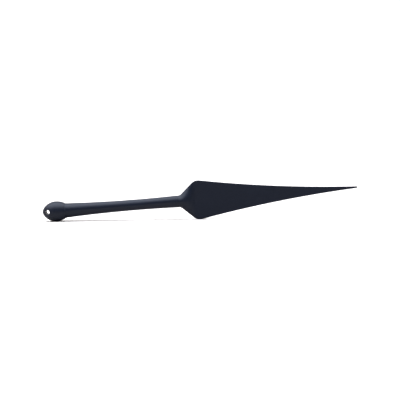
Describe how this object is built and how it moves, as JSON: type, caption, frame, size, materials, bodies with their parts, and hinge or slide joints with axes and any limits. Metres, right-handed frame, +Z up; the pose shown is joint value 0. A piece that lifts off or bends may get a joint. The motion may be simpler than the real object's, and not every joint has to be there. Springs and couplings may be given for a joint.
{
  "type": "bone folder",
  "caption": "Slender dark plastic bone folder: a flat spear-shaped blade with a long fine point, a round waisted handle and an egg-shaped end knob with a hang hole.",
  "frame": {"origin": "on the ground, under the middle of the tool's box, with the tool standing on edge on the knob's belly and the blade's lower shoulder", "axes": "+X from the knob towards the blade's tip, +Y through the blade's thickness, +Z up across the blade's width; the tool's own axis rises about 3.8 degrees towards the tip"},
  "size_m": [0.2196, 0.014, 0.0272],
  "materials": {
    "navy_black_plastic": "satin, almost black navy, very fine moulded grain"
  },
  "bodies": {
    "root": {"blade": "navy_black_plastic", "handle_shaft": "navy_black_plastic", "end_knob": "navy_black_plastic"}
  },
  "joints": []
}
